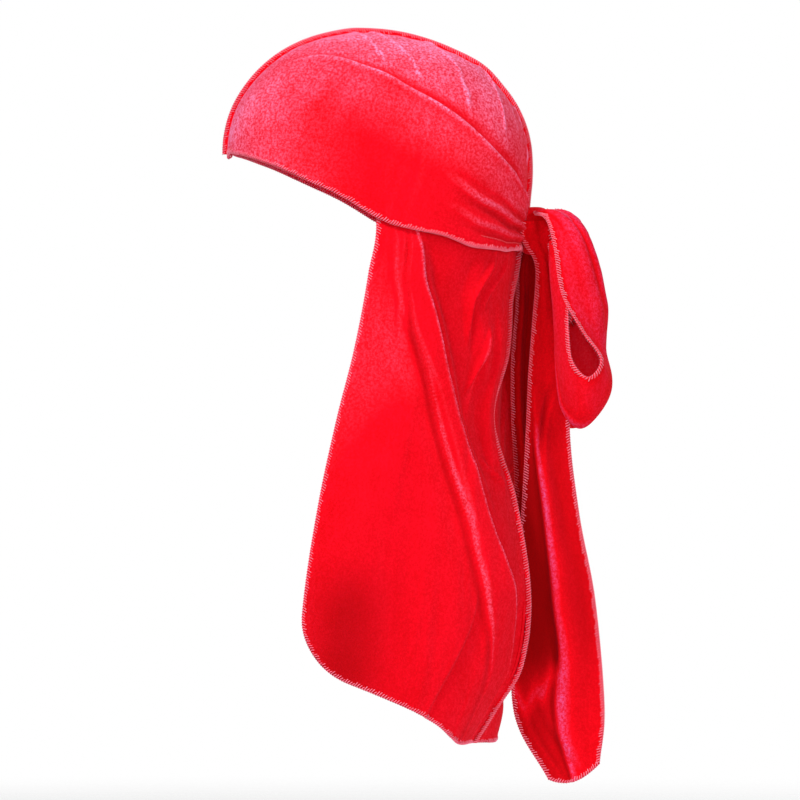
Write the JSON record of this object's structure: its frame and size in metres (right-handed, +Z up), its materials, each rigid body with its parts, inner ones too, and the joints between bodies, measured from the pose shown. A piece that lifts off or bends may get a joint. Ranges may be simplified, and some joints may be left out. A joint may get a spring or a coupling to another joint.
{
  "type": "durag",
  "caption": "Velvet head wrap with a raised centre seam, a long two-part neck flap and wide straps tied in a bow at the back.",
  "frame": {"origin": "inner top of the crown, where it sits on the head", "axes": "+Z up, -Y towards the brow, +X towards the wearer's left side"},
  "size_m": [0.1565, 0.2411, 0.4704],
  "materials": {
    "crown_velvet": "short pile velvet",
    "flap_velvet": "short pile velvet",
    "strap_velvet": "short pile velvet",
    "seam_thread": "matte overlock thread"
  },
  "bodies": {
    "root": {"crown_left": "crown_velvet", "crown_right": "crown_velvet", "centre_seam": "seam_thread", "flap_left": "flap_velvet", "flap_right": "flap_velvet", "flap_seam": "seam_thread", "bow_knot": "strap_velvet", "bow_loop_left": "strap_velvet", "bow_loop_right": "strap_velvet", "tail_left": "strap_velvet", "tail_right": "strap_velvet"}
  },
  "joints": []
}
